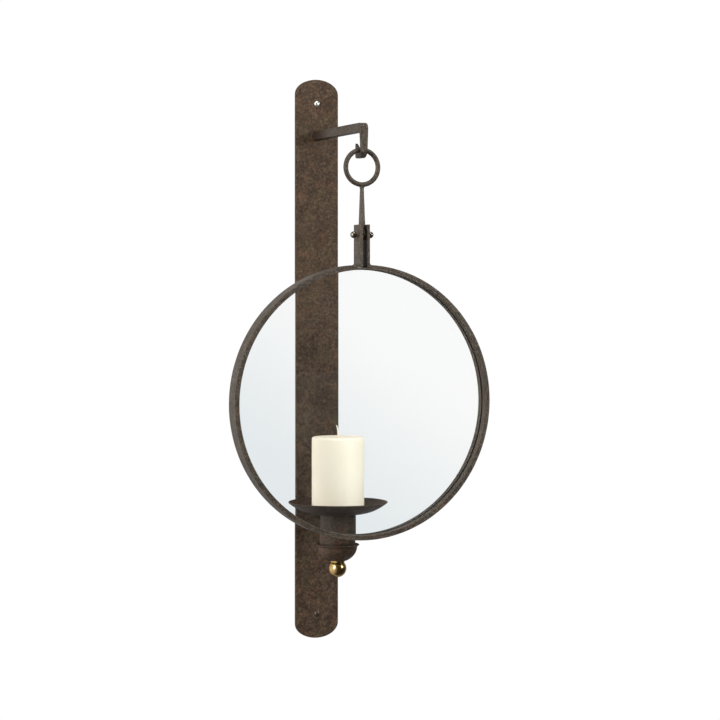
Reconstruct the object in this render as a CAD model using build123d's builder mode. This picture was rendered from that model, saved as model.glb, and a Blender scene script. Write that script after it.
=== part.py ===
from build123d import *
from math import asin, cos, radians, sin, sqrt, tan
from pathlib import Path

# Wall sconce candle holder, in millimetres. +Z is up and +Y points into the wall.
# The origin is the centre of the wall plate's back face.

# ---- wall plate and its screws ----
plate_height = 762.0
plate_width = 62.0
plate_thick = 4.0
plate_end_rise = 20.5  # height of each half-elliptical end
plate_edge = 0.6
screw_from_end = 33.0
screw_hole_r = 3.25
screw_neck_r = 2.4  # plain neck inside the plate
screw_thread_r = 2.0
screw_depth = 28.0  # thread and point behind the plate
screw_point = 6.0
screw_head_r = 4.0
screw_head_high = 2.2
recess_long = 4.4
recess_wide = 0.9
recess_deep = 1.1

# ---- upper arm and its hook ----
arm_below_top = 76.7  # plate's top to the middle of the upper arm
arm_high = 12.0
arm_wide = 11.0
arm_tip_wide = 10.5
hook_leg_thick = 5.8
hook_drop = 27.05  # arm's underside to the saddle that the ring hangs in
hook_wall = 6.6  # iron under the ring
hook_foot_wide = 8.0
hook_tip_wide = 2.6
hook_tip_thick = 2.6
hook_heel_in = 3.5  # heel's offset from the tip
hook_mouth = 21.0  # leg to tip
hook_trough_slope = 40.0
hook_corner_r = 8.0
hook_foot_r = 10.0
hook_heel_r = 5.0
hook_bend_r = 2.5

# ---- hanging ring and stem ----
ring_r = 22.5  # to the middle of the bar
ring_bar_r = 3.25
hook_clearance = 0.6  # ring bar to the hook all round
stem_top = 4.2
stem_deep = 9.0
stem_above_cheeks = 1.0  # where the taper ends
tongue_wide = 6.0
tongue_clearance = 0.15  # each side, between the cheeks
tongue_eye_r = 6.5
bolt_below_ring = 110.1  # ring's hanging point down to the bolt
weld_gap = 0.05

# ---- hoop ----
hoop_r = 178.0
strap_thick = 3.5
strap_deep = 24.0
bolt_above_hoop = 39.0
cheek_above_bolt = 13.2
strap_bend_r = 3.0
strap_turn_r = 2.0
keeper_thick = 2.8
fit_gap = 0.05
glass_thick = 5.2
glass_play = 0.2
glass_edge_gap = 0.4
glass_edge = 0.5

# ---- clevis bolt, washers and ball nuts ----
bolt_r = 2.0
bolt_fit = 0.05
washer_r = 4.6
washer_thick = 0.8
ball_nut_r = 4.45
ball_nut_collar_r = 3.3
ball_nut_reach = 4.1  # washer to the ball's centre
bolt_end_gap = 0.8

# ---- candle holder ----
pan_to_wall = 9.0  # pan's rim to the plate's face
pan_to_hoop = 7.0  # pan's rim to the back of the hoop
pan_above_end = 176.4  # plate's lower end up to the pan's underside
pan_r = 66.5
pan_rise = 15.6
pan_sheet = 1.8
pan_flat_beyond_tube = 0.4
tube_r = 23.9
tube_wall = 2.0
tube_length = 40.0  # pan's underside to the cup's rim
arm_below_pan = 18.1  # pan's underside to the middle of the lower arm
cup_gap = 2.6  # tube to the inside of the cup's rim
cup_depth = 22.0
cup_flare = 2.8  # how far the lip stands out from the bowl
cup_lip_high = 3.0
cup_lip_edge = 1.6
cup_fall = 21.6  # lip's foot to the lowest point of the bowl's full ellipse
cup_wall = 2.6
seat_gap = 0.1
rod_r = 3.0
rod_hole_gap = 0.3
flange_r = 9.0
flange_thick = 2.0
spike_r = 3.4
spike_high = 14.0
finial_r = 11.9
finial_collar_r = 9.6
finial_collar_high = 2.6
finial_neck = 8.0  # collar's underside to the ball's centre
rod_end_gap = 1.5

# ---- candle ----
candle_r = 35.0
candle_high = 100.0
candle_shoulder = 3.0
candle_seat_gap = 0.15
candle_recess_gap = 1.5  # around the rod's flange and spike
wick_r = 0.9
wick_high = 15.0
wick_lean = 2.2
wick_straight = 3.0

# ---- places worked out from the sizes above ----
plate_face_y = -plate_thick
screw_z = plate_height / 2 - screw_from_end
candle_y = plate_face_y - pan_to_wall - pan_r
hang_y = candle_y - pan_r - pan_to_hoop - strap_deep / 2
hook_arm_z = plate_height / 2 - arm_below_top
arm_top_z = hook_arm_z + arm_high / 2
arm_low_z = hook_arm_z - arm_high / 2
bar_space = ring_bar_r + hook_clearance
leg_back_y = hang_y - bar_space
leg_front_y = leg_back_y - hook_leg_thick
saddle_z = arm_low_z - hook_drop
ring_top_z = saddle_z + bar_space
ring_z = ring_top_z - ring_r
bolt_z = ring_top_z - bolt_below_ring
gap_wide = tongue_wide + 2 * tongue_clearance
cheek_out = gap_wide / 2 + strap_thick
cheek_top_z = bolt_z + cheek_above_bolt
hoop_z = bolt_z - bolt_above_hoop - hoop_r
strap_in_r = hoop_r - strap_thick
strap_back_y = hang_y + strap_deep / 2
keeper_wide = (strap_deep - glass_thick) / 2 - glass_play
pan_z = pan_above_end - plate_height / 2
pan_floor_z = pan_z + pan_sheet
pan_flat_r = tube_r + pan_flat_beyond_tube
pan_curve_r = ((pan_r - pan_flat_r) ** 2 + pan_rise**2) / (2 * pan_rise)
candle_arm_z = pan_z - arm_below_pan
cup_in_r = tube_r + cup_gap
cup_r = cup_in_r + cup_wall
cup_rim_z = pan_z - tube_length
cup_low_z = cup_rim_z - cup_depth
bowl_r = cup_r - cup_flare
bowl_in_r = cup_in_r - cup_flare
bowl_z = cup_rim_z - cup_lip_high
cup_foot_r = bowl_r * sqrt(1 - ((bowl_z - cup_low_z) / cup_fall) ** 2)
tube_low_z = cup_rim_z - cup_lip_high * cup_gap / cup_flare + seat_gap
finial_z = cup_low_z - finial_collar_high - finial_neck
rod_hole_r = rod_r + rod_hole_gap
pan_in_curve_r = pan_curve_r - pan_sheet
candle_on_curve = max(candle_r - pan_flat_r, 0)
candle_lift = pan_in_curve_r - sqrt(pan_in_curve_r**2 - candle_on_curve**2)
candle_low_z = pan_floor_z + candle_lift + candle_seat_gap
candle_top_z = candle_low_z + candle_high
flange_top_z = pan_floor_z + flange_thick
recess_top_z = flange_top_z + candle_recess_gap
bolt_axis = Axis((0, hang_y, bolt_z), (1, 0, 0))
candle_axis = Axis((0, candle_y, 0), (0, 0, 1))

# Sketch planes: the wall side seen from the front, the candle's and the hoop's middle planes
wall_plane = Plane((0, 0, 0), x_dir=(1, 0, 0), z_dir=(0, -1, 0))
candle_plane = Plane((0, candle_y, 0), x_dir=(1, 0, 0), z_dir=(0, -1, 0))
hoop_plane = Plane((0, hang_y, hoop_z), x_dir=(1, 0, 0), z_dir=(0, -1, 0))
bolt_plane = Plane((0, hang_y, bolt_z), x_dir=(1, 0, 0), z_dir=(0, -1, 0))
clevis_plane = Plane((0, hang_y, bolt_z), x_dir=(0, 1, 0), z_dir=(1, 0, 0))

parts = Path("parts")
parts.mkdir(exist_ok=True)


def save(piece, name):
    piece.part.label = name
    export_step(piece.part, str(parts / f"{name}.step"))


# ---- wall plate: a bar with half-elliptical ends and two screw holes ----
with BuildPart() as wall_plate:
    with BuildSketch(wall_plane):
        straight = plate_height / 2 - plate_end_rise
        Rectangle(plate_width, 2 * straight)
        with Locations((0, straight), (0, -straight)):
            Ellipse(plate_width / 2, plate_end_rise)
    extrude(amount=plate_thick)
    chamfer(wall_plate.faces().sort_by(Axis.Y)[0].edges(), plate_edge)
    with BuildSketch(wall_plane):
        with Locations((0, screw_z), (0, -screw_z)):
            Circle(screw_hole_r)
    extrude(amount=plate_thick, mode=Mode.SUBTRACT)
save(wall_plate, "wall_plate")


# ---- wall screws: dome head with a cross recess, plain neck, thread and point ----
def wall_screw(z):
    head_front = plate_face_y - screw_head_high
    dome_point = (screw_head_r * sin(radians(50)), plate_face_y - screw_head_high * cos(radians(50)))
    with BuildPart() as screw:
        with BuildSketch(Plane.XY.offset(z)):
            with BuildLine():
                Polyline(
                    (screw_head_r, plate_face_y),
                    (screw_neck_r, plate_face_y),
                    (screw_neck_r, 0),
                    (screw_thread_r, 0),
                    (screw_thread_r, screw_depth - screw_point),
                    (0, screw_depth),
                    (0, head_front),
                )
                ThreePointArc((0, head_front), dome_point, (screw_head_r, plate_face_y))
            make_face()
        revolve(axis=Axis((0, 0, z), (0, 1, 0)))
        with BuildSketch(Plane((0, head_front, z), x_dir=(1, 0, 0), z_dir=(0, 1, 0))):
            Rectangle(recess_long, recess_wide)
            Rectangle(recess_wide, recess_long)
        extrude(amount=recess_deep, mode=Mode.SUBTRACT)
    return screw


save(wall_screw(screw_z), "upper_wall_screw")
save(wall_screw(-screw_z), "lower_wall_screw")

# ---- hook arm: a side outline, narrowed from above, from the front and at the tip ----
with BuildPart() as hook_arm:
    foot_z = saddle_z - hook_wall
    slope = radians(hook_trough_slope)
    trough_y = hang_y + bar_space * tan(slope / 2)
    tip_in_y = leg_back_y + hook_mouth
    tip_out_y = tip_in_y + hook_tip_thick
    tip_z = saddle_z + (tip_in_y - trough_y) * tan(slope)
    heel_y = tip_out_y - hook_heel_in
    with BuildSketch(Plane.YZ) as outline:
        with BuildLine():
            Polyline(
                (plate_face_y, arm_top_z),
                (leg_front_y, arm_top_z),
                (leg_front_y, foot_z),
                (heel_y, foot_z),
                (tip_out_y, tip_z),
                (tip_in_y, tip_z),
                (trough_y, saddle_z),
                (leg_back_y, saddle_z),
                (leg_back_y, arm_low_z),
                (plate_face_y, arm_low_z),
                close=True,
            )
        make_face()
        for y, z, radius in (
            (leg_front_y, arm_top_z, hook_corner_r),
            (leg_front_y, foot_z, hook_foot_r),
            (heel_y, foot_z, hook_heel_r),
            (trough_y, saddle_z, hook_bend_r),
            (leg_back_y, saddle_z, ring_bar_r),
            (leg_back_y, arm_low_z, hook_bend_r),
        ):
            fillet(outline.vertices().sort_by_distance((y, z, 0))[0], radius)
    extrude(amount=arm_wide / 2, both=True)
    with BuildSketch(Plane.XY.offset(foot_z)):
        with BuildLine():
            Polyline(
                (arm_wide / 2, plate_face_y),
                (arm_tip_wide / 2, leg_back_y),
                (arm_tip_wide / 2, leg_front_y),
                (-arm_tip_wide / 2, leg_front_y),
                (-arm_tip_wide / 2, leg_back_y),
                (-arm_wide / 2, plate_face_y),
                close=True,
            )
        make_face()
    extrude(amount=arm_top_z - foot_z, mode=Mode.INTERSECT)
    for side in (1, -1):
        with BuildSketch(wall_plane):
            with BuildLine():
                Polyline(
                    (side * arm_tip_wide / 2, arm_low_z),
                    (side * hook_foot_wide / 2, foot_z),
                    (side * arm_wide, foot_z),
                    (side * arm_wide, arm_low_z),
                    close=True,
                )
            make_face()
        extrude(amount=-leg_front_y, mode=Mode.SUBTRACT)
        with BuildSketch(Plane.XY.offset(foot_z)):
            with BuildLine():
                Polyline(
                    (side * hook_foot_wide / 2, trough_y),
                    (side * hook_tip_wide / 2, tip_out_y),
                    (side * arm_wide, tip_out_y),
                    (side * arm_wide, trough_y),
                    close=True,
                )
            make_face()
        extrude(amount=arm_low_z - foot_z, mode=Mode.SUBTRACT)
save(hook_arm, "hook_arm")

# ---- candle arm: a straight bar, its end hollowed to the tube that it is welded to ----
with BuildPart() as candle_arm:
    with BuildSketch(Plane((0, plate_face_y, candle_arm_z), x_dir=(1, 0, 0), z_dir=(0, -1, 0))):
        Rectangle(arm_wide, arm_high)
    extrude(amount=pan_to_wall + pan_r)
    with BuildSketch(Plane((0, candle_y, candle_arm_z))):
        Circle(tube_r + weld_gap)
    extrude(amount=arm_high, both=True, mode=Mode.SUBTRACT)
save(candle_arm, "candle_arm")

# ---- socket tube, between the pan and the inside of the cup ----
with BuildPart() as socket_tube:
    with BuildSketch(Plane((0, candle_y, tube_low_z))):
        Circle(tube_r)
        Circle(tube_r - tube_wall, mode=Mode.SUBTRACT)
    extrude(amount=pan_z - tube_low_z)
save(socket_tube, "socket_tube")

# ---- drip pan: flat over the tube, then an arc that rises to the rim ----
with BuildPart() as drip_pan:
    turn = asin((pan_r - pan_flat_r) / pan_curve_r)
    rim_out = pan_flat_r + pan_in_curve_r * sin(turn)
    inner_rim = (rim_out, pan_z + pan_curve_r - pan_in_curve_r * cos(turn))
    with BuildSketch(candle_plane):
        with BuildLine():
            Line((rod_hole_r, pan_z), (pan_flat_r, pan_z))
            TangentArc((pan_flat_r, pan_z), (pan_r, pan_z + pan_rise), tangent=(1, 0))
            Line((pan_r, pan_z + pan_rise), inner_rim)
            TangentArc((pan_flat_r, pan_floor_z), inner_rim, tangent=(1, 0))
            Line((pan_flat_r, pan_floor_z), (rod_hole_r, pan_floor_z))
            Line((rod_hole_r, pan_floor_z), (rod_hole_r, pan_z))
        make_face()
    revolve(axis=candle_axis)
save(drip_pan, "drip_pan")

# ---- base cup: a half-elliptical bowl with a flared lip, a flat foot and a hole for the rod ----
with BuildPart() as base_cup:
    with BuildSketch(candle_plane):
        with Locations((0, bowl_z)):
            Ellipse(bowl_r, cup_fall)
            Ellipse(bowl_in_r, cup_fall - cup_wall, mode=Mode.SUBTRACT)
        with Locations((0, cup_low_z)):
            Rectangle(2 * cup_foot_r, 2 * cup_wall)
        with Locations((0, cup_low_z)):
            Rectangle(2 * cup_r, 2 * cup_fall, align=(Align.CENTER, Align.MAX), mode=Mode.SUBTRACT)
        with Locations((0, bowl_z)):
            Rectangle(2 * cup_r, 2 * cup_fall, align=(Align.CENTER, Align.MIN), mode=Mode.SUBTRACT)
        with BuildLine():
            Polyline(
                (bowl_in_r, bowl_z),
                (bowl_r, bowl_z),
                (cup_r, cup_rim_z - cup_lip_edge),
                (cup_r, cup_rim_z),
                (cup_in_r, cup_rim_z),
                close=True,
            )
        make_face()
        with Locations((rod_hole_r, cup_rim_z)):
            Rectangle(4 * cup_r, 4 * cup_fall, align=(Align.MAX, Align.CENTER), mode=Mode.SUBTRACT)
    revolve(axis=candle_axis)
save(base_cup, "base_cup")

# ---- pricket rod: spike and flange above the pan, rod down into the finial ----
with BuildPart() as pricket_rod:
    rod_low_z = finial_z + rod_end_gap
    with BuildSketch(candle_plane):
        with BuildLine():
            Polyline(
                (0, rod_low_z),
                (rod_r, rod_low_z),
                (rod_r, pan_floor_z),
                (flange_r, pan_floor_z),
                (flange_r, flange_top_z),
                (spike_r, flange_top_z),
                (0, flange_top_z + spike_high),
                close=True,
            )
        make_face()
    revolve(axis=candle_axis)
save(pricket_rod, "pricket_rod")

# ---- finial nut: a collar and a ball, with a blind bore for the rod ----
with BuildPart() as finial_nut:
    collar_low_z = cup_low_z - finial_collar_high
    neck_r = sqrt(finial_r**2 - finial_neck**2)
    with BuildSketch(candle_plane):
        with BuildLine():
            Polyline(
                (neck_r, collar_low_z),
                (finial_collar_r, collar_low_z),
                (finial_collar_r, cup_low_z),
                (rod_r + fit_gap, cup_low_z),
                (rod_r + fit_gap, finial_z),
                (0, finial_z),
                (0, finial_z - finial_r),
            )
            ThreePointArc((0, finial_z - finial_r), (finial_r, finial_z), (neck_r, collar_low_z))
        make_face()
    revolve(axis=candle_axis)
save(finial_nut, "finial_nut")

# ---- hanging ring ----
with BuildPart() as hanging_ring:
    with BuildSketch(Plane.YZ):
        with Locations((hang_y, ring_top_z)):
            Circle(ring_bar_r)
    revolve(axis=Axis((0, hang_y, ring_z), (0, 1, 0)))
save(hanging_ring, "hanging_ring")

# ---- tapered stem: welded under the ring, with a bored eye that turns on the bolt ----
with BuildPart() as tapered_stem:
    stem_top_z = ring_z - ring_r - ring_bar_r - weld_gap
    taper_low_z = cheek_top_z + stem_above_cheeks
    with BuildSketch(Plane((0, hang_y, stem_top_z))):
        Rectangle(stem_top, stem_top)
    with BuildSketch(Plane((0, hang_y, taper_low_z))):
        Rectangle(tongue_wide, stem_deep)
    loft()
    with BuildSketch(Plane((0, hang_y, taper_low_z))):
        Rectangle(tongue_wide, stem_deep)
    extrude(amount=bolt_z - taper_low_z)
    with BuildSketch(clevis_plane):
        Circle(tongue_eye_r)
    extrude(amount=tongue_wide / 2, both=True)
    with BuildSketch(clevis_plane):
        Circle(bolt_r + bolt_fit)
    extrude(amount=tongue_wide, both=True, mode=Mode.SUBTRACT)
save(tapered_stem, "tapered_stem")

# ---- hoop strap: one strip bent round, both ends turned up as the clevis cheeks ----
with BuildPart() as hoop_strap:
    cheek_foot = hoop_r - strap_thick / 2
    cheek_long = cheek_top_z - hoop_z - cheek_foot
    bend_z = sqrt(hoop_r**2 - cheek_out**2)
    turn_z = sqrt(strap_in_r**2 - gap_wide**2 / 4)
    with BuildSketch(hoop_plane) as strip:
        Circle(hoop_r)
        Circle(strap_in_r, mode=Mode.SUBTRACT)
        with Locations((0, hoop_r)):
            Rectangle(gap_wide, 4 * strap_thick, mode=Mode.SUBTRACT)
        for side in (1, -1):
            with Locations((side * (gap_wide + strap_thick) / 2, cheek_foot)):
                Rectangle(strap_thick, cheek_long, align=(Align.CENTER, Align.MIN))
        for side in (1, -1):
            fillet(strip.vertices().sort_by_distance((side * cheek_out, bend_z, 0))[0], strap_bend_r)
            fillet(strip.vertices().sort_by_distance((side * gap_wide / 2, turn_z, 0))[0], strap_turn_r)
    extrude(amount=strap_deep / 2, both=True)
    with BuildSketch(clevis_plane):
        Circle(bolt_r + bolt_fit)
    extrude(amount=2 * cheek_out, both=True, mode=Mode.SUBTRACT)
save(hoop_strap, "hoop_strap")


# ---- keeper rings, one each side of the glass ----
def glass_ring(name, side):
    near = hang_y - side * (glass_thick / 2 + glass_play)
    with BuildPart() as keeper:
        with BuildSketch(Plane((0, near, hoop_z), x_dir=(1, 0, 0), z_dir=(0, -side, 0))):
            Circle(strap_in_r - fit_gap)
            Circle(strap_in_r - fit_gap - keeper_thick, mode=Mode.SUBTRACT)
        extrude(amount=keeper_wide)
    save(keeper, name)


glass_ring("front_glass_ring", 1)
glass_ring("rear_glass_ring", -1)

# ---- glass disc ----
with BuildPart() as glass_disc:
    with BuildSketch(hoop_plane):
        Circle(strap_in_r - glass_edge_gap)
    extrude(amount=glass_thick / 2, both=True)
    chamfer(glass_disc.edges().filter_by(GeomType.CIRCLE), glass_edge)
save(glass_disc, "glass_disc")

# ---- clevis bolt, along X through both cheeks and the stem's eye ----
with BuildPart() as clevis_bolt:
    bolt_half = cheek_out + washer_thick + ball_nut_reach
    with BuildSketch(clevis_plane):
        Circle(bolt_r)
    extrude(amount=bolt_half, both=True)
save(clevis_bolt, "clevis_bolt")


# ---- washer and ball nut on one end of the bolt: side is -1 on the left and 1 on the right ----
def bolt_end(hand, side):
    seat = cheek_out
    with BuildPart() as washer:
        with BuildSketch(Plane((side * seat, hang_y, bolt_z), x_dir=(0, 1, 0), z_dir=(side, 0, 0))):
            Circle(washer_r)
            Circle(bolt_r + bolt_fit, mode=Mode.SUBTRACT)
        extrude(amount=washer_thick)
    save(washer, f"{hand}_washer")

    start = seat + washer_thick
    centre = start + ball_nut_reach
    collar_end = centre - sqrt(ball_nut_r**2 - ball_nut_collar_r**2)
    bore_end = centre + bolt_end_gap
    with BuildPart() as ball_nut:
        with BuildSketch(bolt_plane):
            with BuildLine():
                Polyline(
                    (side * (centre + ball_nut_r), 0),
                    (side * bore_end, 0),
                    (side * bore_end, bolt_r + fit_gap),
                    (side * start, bolt_r + fit_gap),
                    (side * start, ball_nut_collar_r),
                    (side * collar_end, ball_nut_collar_r),
                )
                ThreePointArc(
                    (side * collar_end, ball_nut_collar_r),
                    (side * centre, ball_nut_r),
                    (side * (centre + ball_nut_r), 0),
                )
            make_face()
        revolve(axis=bolt_axis)
    save(ball_nut, f"{hand}_ball_nut")


bolt_end("left", -1)
bolt_end("right", 1)

# ---- candle: rounded shoulder, wick bore, recess and socket for the rod's flange and spike ----
with BuildPart() as candle_wax:
    socket_r = spike_r + candle_recess_gap
    socket_top_z = recess_top_z + spike_high + candle_recess_gap
    bore_r = wick_r + fit_gap
    with BuildSketch(candle_plane) as wax_outline:
        with BuildLine():
            Polyline(
                (flange_r + candle_recess_gap, candle_low_z),
                (candle_r, candle_low_z),
                (candle_r, candle_top_z),
                (bore_r, candle_top_z),
                (bore_r, socket_top_z),
                (socket_r, recess_top_z),
                (flange_r + candle_recess_gap, recess_top_z),
                close=True,
            )
        make_face()
        fillet(wax_outline.vertices().sort_by_distance((candle_r, candle_top_z, 0))[0], candle_shoulder)
    revolve(axis=candle_axis)
save(candle_wax, "candle_wax")

# ---- wick: straight through the wax, then leaning to the left ----
with BuildPart() as candle_wick:
    bend_z = candle_top_z + wick_straight
    bend_high = wick_high - wick_straight
    bend_r = (wick_lean**2 + bend_high**2) / (2 * wick_lean)
    half_turn = asin(bend_high / bend_r) / 2
    bend_middle = (bend_r * (cos(half_turn) - 1), bend_z + bend_r * sin(half_turn))
    with BuildLine(candle_plane):
        Line((0, socket_top_z), (0, bend_z))
        ThreePointArc((0, bend_z), bend_middle, (-wick_lean, bend_z + bend_high))
    with BuildSketch(Plane((0, candle_y, socket_top_z))):
        Circle(wick_r)
    sweep()
save(candle_wick, "candle_wick")
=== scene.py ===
"""Looks for a wall-hung candle holder: a long iron plate, a hooked arm with a glazed hoop, and a candle
on a pan."""

import math

import bmesh
import bpy
import numpy as np
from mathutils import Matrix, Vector


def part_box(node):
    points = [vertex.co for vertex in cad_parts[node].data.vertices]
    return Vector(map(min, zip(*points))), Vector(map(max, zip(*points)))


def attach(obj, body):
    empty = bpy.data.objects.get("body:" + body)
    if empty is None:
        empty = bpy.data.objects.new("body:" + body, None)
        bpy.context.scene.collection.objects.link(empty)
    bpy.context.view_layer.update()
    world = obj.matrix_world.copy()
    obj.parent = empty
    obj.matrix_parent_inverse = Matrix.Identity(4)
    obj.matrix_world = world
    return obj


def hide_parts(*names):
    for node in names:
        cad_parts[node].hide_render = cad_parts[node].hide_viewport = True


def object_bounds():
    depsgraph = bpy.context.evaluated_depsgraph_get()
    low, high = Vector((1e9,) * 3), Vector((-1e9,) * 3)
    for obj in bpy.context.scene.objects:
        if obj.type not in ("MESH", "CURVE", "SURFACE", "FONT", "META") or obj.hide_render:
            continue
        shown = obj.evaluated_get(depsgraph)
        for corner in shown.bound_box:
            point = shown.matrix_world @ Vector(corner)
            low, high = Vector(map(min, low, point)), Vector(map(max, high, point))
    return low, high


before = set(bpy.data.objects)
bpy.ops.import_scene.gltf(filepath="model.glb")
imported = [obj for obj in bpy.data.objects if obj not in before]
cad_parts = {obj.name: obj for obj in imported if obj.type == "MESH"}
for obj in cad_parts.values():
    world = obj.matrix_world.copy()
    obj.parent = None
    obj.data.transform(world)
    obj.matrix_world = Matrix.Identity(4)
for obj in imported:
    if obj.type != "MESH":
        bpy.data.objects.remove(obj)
cad_low, cad_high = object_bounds()

MM = 0.001
MERGE = 0.002 * MM
SHARP = math.radians(48)


def ends(node):
    """Lowest and highest corner of a CAD node, in metres."""
    low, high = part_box(node)
    return np.array(low), np.array(high)


# ---------------------------------------------------------------- shapes


def unit(arrows):
    """Each arrow divided by its own length."""
    return arrows / np.linalg.norm(arrows, axis=-1, keepdims=True)


def eased(count):
    """Shares of a run from 0 to 1 without its ends, closer together near both ends: half of one minus a
    cosine."""
    return (1 - np.cos(np.pi * np.arange(1, count + 1) / (count + 1))) / 2


def uneven(points, size, seed, waves=12):
    """A smooth uneven field from 0 to 1: the sum of sine waves about one size long, in seeded random
    directions."""
    rng = np.random.default_rng(seed)
    directions = unit(rng.normal(size=(waves, 3)))
    lengths = size * rng.uniform(0.6, 1.7, waves)
    starts = rng.uniform(0, 2 * np.pi, waves)
    angle = points @ (directions / lengths[:, None] * 2 * np.pi).T + starts
    return np.clip(0.5 + np.sin(angle).sum(-1) / (2.2 * math.sqrt(2 * waves)), 0, 1)


def rounded_path(corners, radii, run_steps, arc_steps=7, closed=False):
    """A flat line through corners, each rounded by an arc that touches both of its runs. An arc's points
    turn evenly from one touching point to the other about its centre, and a run's points are eased
    between its two arcs."""
    corners = np.asarray(corners, float)
    count = len(corners)
    share = np.linspace(0, 1, arc_steps)[:, None]
    arcs = []
    for k, (corner, radius) in enumerate(zip(corners, radii)):
        if not closed and k in (0, count - 1):
            arcs.append(corner[None])
            continue
        back, ahead = unit(corners[k - 1] - corner), unit(corners[(k + 1) % count] - corner)
        inside = math.acos(max(-1.0, min(1.0, float(back @ ahead))))
        turn = math.pi - inside
        centre = corner + unit(back + ahead) * radius / math.sin(inside / 2)
        reach = radius / math.tan(inside / 2)
        first, last = corner + back * reach - centre, corner + ahead * reach - centre
        swept = np.sin((1 - share) * turn) * first + np.sin(share * turn) * last
        arcs.append(centre + swept / math.sin(turn))
    points = []
    for k in range(count if closed else count - 1):
        steps = run_steps[k] if hasattr(run_steps, "__len__") else run_steps
        start, end = arcs[k][-1], arcs[(k + 1) % count][0]
        points += [arcs[k], start + (end - start) * eased(steps)[:, None]]
    return np.vstack(points if closed else points + [arcs[-1]])


def section(half_across, half_up, corner, flat_steps, arc_steps=5):
    """Rectangles with rounded corners, one row for each half size: four quarter circles joined by flats.
    It returns the offsets across and up, and the outward directions across and up."""
    across, up, corner = (np.asarray(x, float).reshape(-1, 1) for x in (half_across, half_up, corner))
    quarter, flat = np.linspace(0, np.pi / 2, arc_steps), eased(flat_steps)
    arcs = []
    for k, (side, level) in enumerate(((1, 1), (-1, 1), (-1, -1), (1, -1))):
        angle = quarter + k * np.pi / 2
        x = side * (across - corner) + corner * np.cos(angle)
        y = level * (up - corner) + corner * np.sin(angle)
        arcs.append((x, y, angle))
    rows = [[], [], [], []]
    for k, (x, y, angle) in enumerate(arcs):
        next_x, next_y, _ = arcs[(k + 1) % 4]
        rows[0] += [x, x[:, -1:] + (next_x[:, :1] - x[:, -1:]) * flat]
        rows[1] += [y, y[:, -1:] + (next_y[:, :1] - y[:, -1:]) * flat]
        for row, turn in ((rows[2], np.cos), (rows[3], np.sin)):
            row += [np.broadcast_to(turn(angle), x.shape), np.full((len(x), flat_steps), turn(angle[-1]))]
    return [np.concatenate(row, 1) for row in rows]


def bar(centres, across, up, half_across, half_up, corner, soft, dent, dent_size, seed, flat_steps):
    """A bar of rounded-rectangle section carried along its centres. Over the last soft length at each end
    the section is pulled in by a quarter circle, then closed at a point. Dents move the skin inwards by
    an uneven field."""
    centres = np.asarray(centres, float)
    count, end_rows = len(centres), 5
    angle = np.linspace(0, np.pi / 2, end_rows)
    back, pull = soft * (1 - np.sin(angle))[:, None], soft * (1 - np.cos(angle))
    start, end = unit(centres[0] - centres[1]), unit(centres[-1] - centres[-2])
    places = np.vstack([(centres[0] - start * back)[::-1], centres[1:-1], centres[-1] - end * back])
    pulls = np.concatenate([pull[::-1], np.zeros(count - 2), pull])
    pick = np.concatenate([np.zeros(end_rows, int), np.arange(1, count - 1), np.full(end_rows, count - 1)])
    sizes = (half_across, half_up, corner)
    half_across, half_up, corner = (np.broadcast_to(np.asarray(x, float), (count,))[pick] for x in sizes)
    across, up = (np.broadcast_to(np.asarray(x, float), (count, 3))[pick][:, None] for x in (across, up))
    corner = np.maximum(corner - pulls, 0.2 * corner)
    x, y, turn_x, turn_y = section(half_across - pulls, half_up - pulls, corner, flat_steps)
    skin = places[:, None] + across * x[..., None] + up * y[..., None]
    outward = across * turn_x[..., None] + up * turn_y[..., None]
    skin = skin - outward * (dent * uneven(skin, dent_size, seed))[..., None]
    poles = [np.repeat(p[None, None], skin.shape[1], 1) for p in (places[0], places[-1])]
    return np.concatenate([poles[0], skin, poles[1]])


def turned(profile, centre, axis, steps=96):
    """A profile of radius and place along an axis (0, 1 or 2 for X, Y or Z), carried round that axis
    through centre."""
    profile = np.asarray(profile, float)
    angle = np.linspace(0, 2 * np.pi, steps, endpoint=False)
    first, second = (axis + 1) % 3, (axis + 2) % 3
    grid = np.zeros((len(profile), steps, 3))
    grid[..., axis] = profile[:, 1:]
    grid[..., first] = centre[first] + profile[:, :1] * np.cos(angle)
    grid[..., second] = centre[second] + profile[:, :1] * np.sin(angle)
    return grid


def make(name, body, slot, finish, shells, stands_for=()):
    """Joins surfaces into one piece. Each is a grid of points whose rows are closed loops, and a true
    flag says that its last row meets its first. Points that fall together are merged, and faces turned
    outwards."""
    points, faces, start = [], [], 0
    for grid, closed in shells:
        rows, columns = grid.shape[:2]
        row, column = np.arange(rows if closed else rows - 1)[:, None], np.arange(columns)[None]
        here, ahead, beside = row * columns, (row + 1) % rows * columns, (column + 1) % columns
        quads = [here + column, here + beside, ahead + beside, ahead + column]
        points.append(grid.reshape(-1, 3))
        faces.append(np.stack(quads, -1).reshape(-1, 4) + start)
        start += rows * columns
    mesh = bpy.data.meshes.new(name)
    mesh.from_pydata(np.vstack(points).tolist(), [], np.vstack(faces).tolist())
    work = bmesh.new()
    work.from_mesh(mesh)
    bmesh.ops.remove_doubles(work, verts=work.verts, dist=MERGE)
    bmesh.ops.recalc_face_normals(work, faces=work.faces)
    work.to_mesh(mesh)
    work.free()
    mesh.shade_smooth()
    mesh.set_sharp_from_angle(angle=SHARP)
    mesh.materials.append(finish)
    piece = bpy.data.objects.new(name, mesh)
    bpy.context.scene.collection.objects.link(piece)
    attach(piece, body)
    if stands_for:
        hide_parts(*stands_for)
    return piece


# ---------------------------------------------------------------- finishes


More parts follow.
